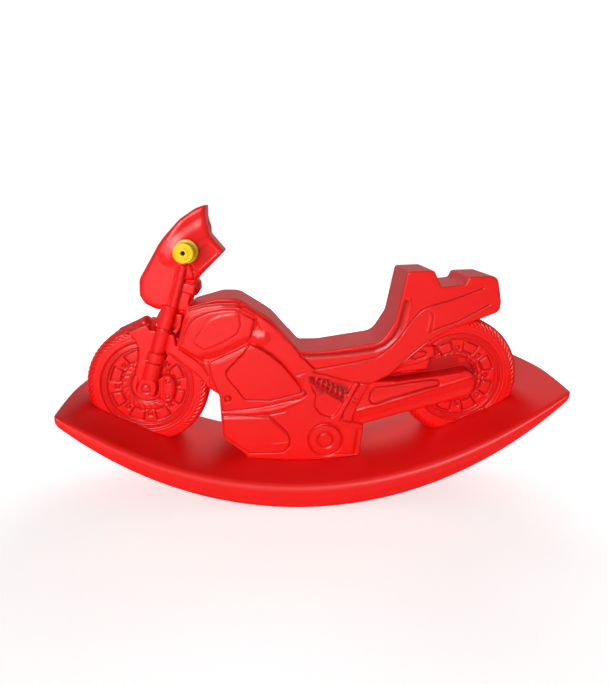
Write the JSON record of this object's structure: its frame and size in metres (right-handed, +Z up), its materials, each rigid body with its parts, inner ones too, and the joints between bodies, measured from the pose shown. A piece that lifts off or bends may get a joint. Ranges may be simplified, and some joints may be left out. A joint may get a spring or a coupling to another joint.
{
  "type": "rocking motorcycle toy",
  "caption": "Toddler's rocking toy: a relief-moulded plastic motorcycle bolted on a boat-shaped rocker, with a turning hand grip on each side.",
  "frame": {"origin": "lowest point of the rocker, in the middle of the short flat it stands on", "axes": "+X runs to the rear of the toy (the front wheel is at -X), +Y to the rider's right, +Z up"},
  "size_m": [0.8861, 0.285, 0.5195],
  "materials": {
    "red_plastic": "semi-gloss moulded polyethylene",
    "yellow_plastic": "semi-gloss moulded plastic",
    "steel": "zinc-plated steel",
    "brass": "plain brass"
  },
  "bodies": {
    "toy": {"rocker_base": "red_plastic", "motorcycle_body": "red_plastic", "blow_hole_plug": "red_plastic", "handlebar_rod": "steel", "left_grip_screw": "steel", "right_grip_screw": "steel", "base_bolt_1": "steel", "base_washer_1": "steel", "body_insert_1": "brass", "base_bolt_2": "steel", "base_washer_2": "steel", "body_insert_2": "brass", "base_bolt_3": "steel", "base_washer_3": "steel", "body_insert_3": "brass", "base_bolt_4": "steel", "base_washer_4": "steel", "body_insert_4": "brass"},
    "left_hand_grip": {"left_grip": "yellow_plastic"},
    "right_hand_grip": {"right_grip": "yellow_plastic"}
  },
  "joints": [
    {"name": "left_grip_spin", "type": "hinge", "parent": "toy", "child": "left_hand_grip", "pos_m": [-0.2035, -0.0703, 0.4425], "axis": [0, 1, 0], "continuous": true},
    {"name": "right_grip_spin", "type": "hinge", "parent": "toy", "child": "right_hand_grip", "pos_m": [-0.2035, 0.0703, 0.4425], "axis": [0, 1, 0], "continuous": true}
  ]
}
